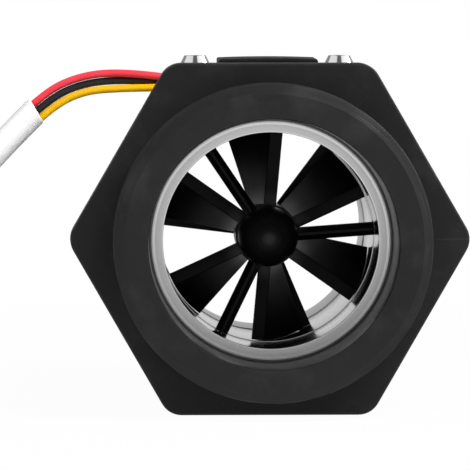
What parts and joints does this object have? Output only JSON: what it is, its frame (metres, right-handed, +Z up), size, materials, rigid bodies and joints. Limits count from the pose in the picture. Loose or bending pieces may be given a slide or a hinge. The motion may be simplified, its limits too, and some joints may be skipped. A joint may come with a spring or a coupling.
{
  "type": "turbine flow meter",
  "caption": "Turbine flow meter with a hexagon moulded body, male pipe threads, metal lined bore, helical rotor between spiders, and a pulse sensor box with a three-wire lead.",
  "frame": {"origin": "on the surface that the meter stands on, under the middle of the body", "axes": "+Y along the flow from the inlet thread to the outlet thread, +Z up to the sensor cover"},
  "size_m": [0.1637, 0.1147, 0.0676],
  "materials": {
    "body_plastic": "glass-filled nylon, moulded, satin",
    "cover_plastic": "moulded nylon, satin",
    "gasket_rubber": "sheet rubber",
    "screw_steel": "plated pan head screws",
    "insert_brass": "knurled inserts",
    "board_laminate": "solder mask over laminate",
    "chip_black": "moulded sensor case",
    "chip_grey": "ceramic chips",
    "lead_insulation": "insulated leads",
    "grommet_rubber": "moulded rubber",
    "red_insulation": "PVC insulation",
    "black_insulation": "PVC insulation",
    "yellow_insulation": "PVC insulation",
    "white_jacket": "PVC jacket",
    "plug_nylon": "natural nylon",
    "terminal_tin": "tinned contacts",
    "liner_steel": "turned and polished sleeve",
    "seal_rubber": "moulded rings",
    "spider_plastic": "moulded acetal",
    "bearing_graphite": "graphite sleeve",
    "rotor_plastic": "moulded acetal, satin",
    "shaft_steel": "ground pin",
    "magnet_nickel": "nickel plated magnets",
    "washer_plastic": "low friction washers"
  },
  "bodies": {
    "meter": {"body": "body_plastic", "sensor_cover": "cover_plastic", "cover_gasket": "gasket_rubber", "cover_screws": "screw_steel", "screw_inserts": "insert_brass", "circuit_board": "board_laminate", "hall_sensor": "chip_black", "board_parts": "chip_grey", "inner_leads": "lead_insulation", "wire_grommet": "grommet_rubber", "wire_red": "red_insulation", "wire_black": "black_insulation", "wire_yellow": "yellow_insulation", "cable_jacket": "white_jacket", "cable_coil": "white_jacket", "tail_red": "red_insulation", "tail_black": "black_insulation", "tail_yellow": "yellow_insulation", "plug_housing": "plug_nylon", "plug_terminals": "terminal_tin", "front_liner": "liner_steel", "centre_liner": "liner_steel", "rear_liner": "liner_steel", "liner_seals": "seal_rubber", "front_spider": "spider_plastic", "rear_spider": "spider_plastic", "front_bearing": "bearing_graphite", "rear_bearing": "bearing_graphite"},
    "rotor_set": {"rotor": "rotor_plastic", "rotor_shaft": "shaft_steel", "rotor_magnets": "magnet_nickel", "thrust_washers": "washer_plastic"}
  },
  "joints": [
    {"name": "rotor_spin", "type": "hinge", "parent": "meter", "child": "rotor_set", "pos_m": [0, -0.01065, 0.03325], "axis": [0, 1, 0], "continuous": true}
  ]
}
